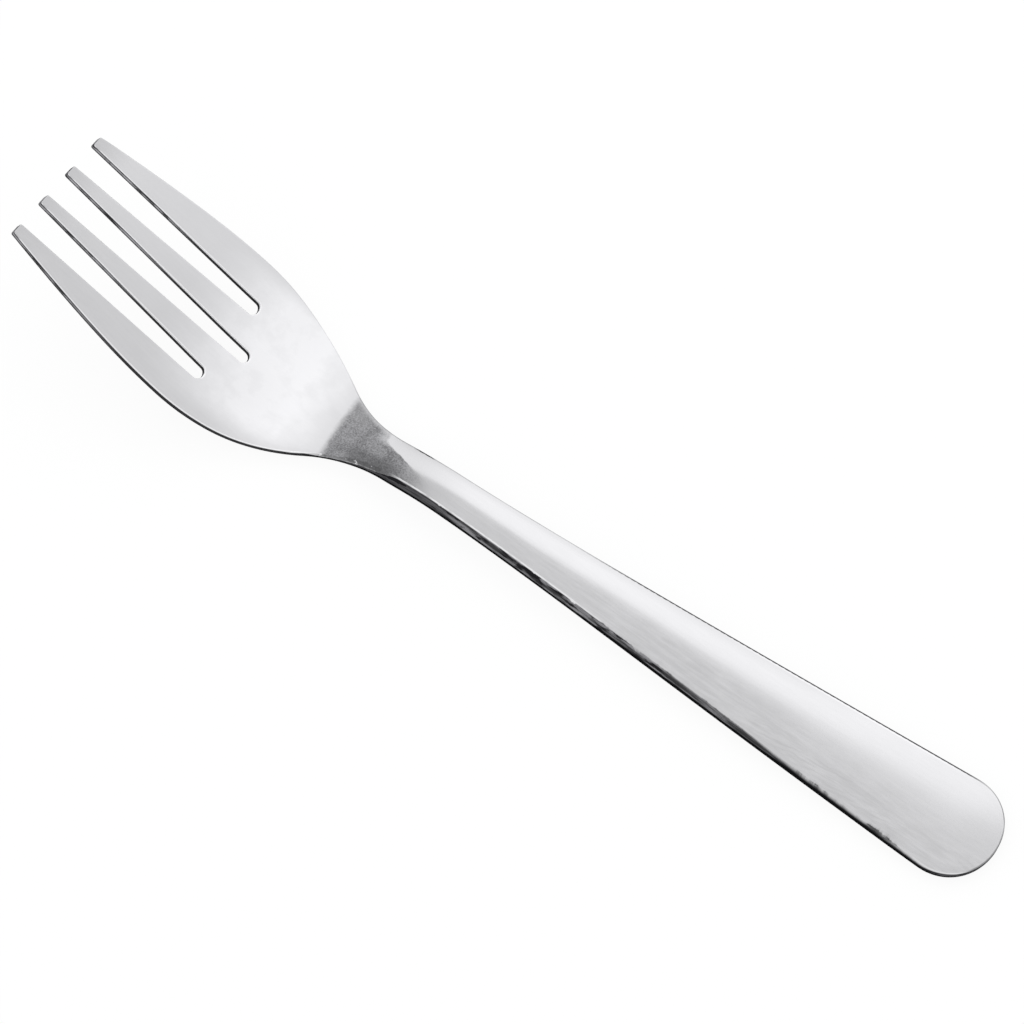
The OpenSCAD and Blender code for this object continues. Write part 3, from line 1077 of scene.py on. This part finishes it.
class SALADFORK_OT_fork(bpy.types.Operator):
    """Cut, press, round and finish the fork"""

    bl_idname = "salad_fork.fork"
    bl_label = "Fork"

    def execute(self, context):
        form = ForkForm(context.scene.fork_sizes)
        bm = bmesh.new()
        inner = cut_blank(bm, form)
        bm.normal_update()
        places = edge_places(bm)
        cut_grid(bm, inner, form)
        press_blank(bm, form)
        round_rims(bm, form)
        mark_edges(bm, form, places)
        bmesh.ops.scale(bm, vec=(MM, MM, MM), verts=bm.verts[:])
        for face in bm.faces:
            face.smooth = True
        piece = new_piece("fork", bm, steel_material(context.scene.steel_finish))
        weighted = piece.modifiers.new("even_shading", "WEIGHTED_NORMAL")
        weighted.mode = "FACE_AREA"
        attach(piece, "root")
        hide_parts(*ZONES)
        return {"FINISHED"}


class SALADFORK_OT_stage(bpy.types.Operator):
    """Set up the floor, the light and the camera"""

    bl_idname = "salad_fork.stage"
    bl_label = "Stage"

    def execute(self, context):
        add_floor(context.scene.stage_look)
        add_world(context.scene)
        add_panel(context.scene)
        add_camera(context.scene)
        context.scene.view_settings.view_transform = "Standard"
        return {"FINISHED"}


# The floor's reach from the middle, and the small gap under the fork, in metres
FLOOR_REACH = 3.0
FLOOR_GAP = 0.0001


def add_floor(look):
    """Plain floor under the fork."""
    bm = bmesh.new()
    bmesh.ops.create_grid(bm, x_segments=1, y_segments=1, size=FLOOR_REACH)
    bmesh.ops.translate(bm, vec=(0, 0, cad_low.z - FLOOR_GAP), verts=bm.verts[:])
    floor = new_piece("floor", bm, floor_material(look))


def add_world(scene):
    """White all round, as in a white room."""
    world = bpy.data.worlds.new("white_room")
    world.use_nodes = True
    n = Nodes(world.node_tree)
    background = n.signal("Background", {"Color": (1, 1, 1, 1), "Strength": 1.0})
    n.add("OutputWorld", {"Surface": background})
    scene.world = world


# The soft panel of light: place in degrees and metres, size in metres, and brightness beside the room's
PANEL_AZIMUTH = 204.0
PANEL_ELEVATION = 43.2
PANEL_DISTANCE = 0.8
PANEL_SIZE = (1.28, 0.52)
PANEL_LIGHT = 0.573


def add_panel(scene):
    """A soft panel of light behind the fork, which faces it."""
    lamp = bpy.data.lights.new("far_panel", "AREA")
    lamp.shape = "RECTANGLE"
    lamp.size, lamp.size_y = PANEL_SIZE
    lamp.energy = PANEL_LIGHT * math.pi * lamp.size * lamp.size_y
    back = direction(PANEL_AZIMUTH, PANEL_ELEVATION)
    holder = bpy.data.objects.new("far_panel", lamp)
    turned = back.to_track_quat("Z", "Y").to_matrix().to_4x4()
    holder.matrix_world = Matrix.Translation(back * PANEL_DISTANCE) @ turned
    scene.collection.objects.link(holder)


def direction(azimuth, elevation):
    """Unit vector towards a place round the fork, in degrees; azimuth 0 is in front, at -Y."""
    a = math.radians(azimuth)
    e = math.radians(elevation)
    return Vector((math.sin(a) * math.cos(e), -math.cos(a) * math.cos(e), math.sin(e)))


# The camera: its place round a target over the origin, in degrees and metres, and the picture's scale
CAMERA_AZIMUTH = 23.12
CAMERA_ELEVATION = 60.0
CAMERA_ROLL = 12.47
CAMERA_DISTANCE = 0.6
TARGET_HEIGHT = 0.005
PICTURE_PIXELS = 1024
PIXELS_PER_METRE = 7390.0
# Where the picture's middle lies beside the target, to the right and up
MIDDLE_PIXELS = (-2.84, 15.13)
# How many times nearer and farther than the target the camera still sees
CLIP_RANGE = 100


def add_camera(scene):
    """Camera at the photograph's viewing angle."""
    lens = bpy.data.cameras.new("camera")
    lens.lens = lens.sensor_width * PIXELS_PER_METRE * CAMERA_DISTANCE / PICTURE_PIXELS
    lens.clip_start = CAMERA_DISTANCE / CLIP_RANGE
    lens.clip_end = CAMERA_DISTANCE * CLIP_RANGE
    back = direction(CAMERA_AZIMUTH, CAMERA_ELEVATION)
    side = Vector((0, 0, 1)).cross(back).normalized()
    rise = back.cross(side)
    roll = math.radians(CAMERA_ROLL)
    right = side * math.cos(roll) + rise * math.sin(roll)
    up = back.cross(right)
    target = Vector((0, 0, TARGET_HEIGHT))
    eye = target + back * CAMERA_DISTANCE
    shift_right, shift_up = MIDDLE_PIXELS
    aim = target + (right * shift_right + up * shift_up) / PIXELS_PER_METRE
    look = (eye - aim).normalized()
    right = up.cross(look).normalized()
    up = look.cross(right)
    turned = Matrix((right, up, look)).transposed().to_4x4()
    camera = bpy.data.objects.new("camera", lens)
    camera.matrix_world = Matrix.Translation(eye) @ turned
    scene.collection.objects.link(camera)
    scene.camera = camera


class SALADFORK_PT_panel(bpy.types.Panel):
    """Sizes, finish and stage of the fork"""

    bl_idname = "SALADFORK_PT_panel"
    bl_label = "Salad fork"
    bl_space_type = "VIEW_3D"
    bl_region_type = "UI"
    bl_category = "Fork"

    def draw(self, context):
        for name, button in (("fork_sizes", None), ("steel_finish", "fork"), ("stage_look", "stage")):
            group = getattr(context.scene, name)
            column = self.layout.column(align=True)
            for key in type(group).__annotations__:
                column.prop(group, key)
            if button:
                column.operator("salad_fork." + button)


GROUPS = {"fork_sizes": ForkSizes, "steel_finish": SteelFinish, "stage_look": StageLook}
CLASSES = (*GROUPS.values(), SALADFORK_OT_fork, SALADFORK_OT_stage, SALADFORK_PT_panel)


def register():
    for cls in CLASSES:
        bpy.utils.register_class(cls)
    for name, group in GROUPS.items():
        setattr(bpy.types.Scene, name, PointerProperty(type=group))


def unregister():
    for name in GROUPS:
        delattr(bpy.types.Scene, name)
    for cls in reversed(CLASSES):
        bpy.utils.unregister_class(cls)


def main():
    """Builds the fork and its stage."""
    register()
    bpy.ops.salad_fork.fork()
    bpy.ops.salad_fork.stage()


if __name__ == "__main__":
    main()
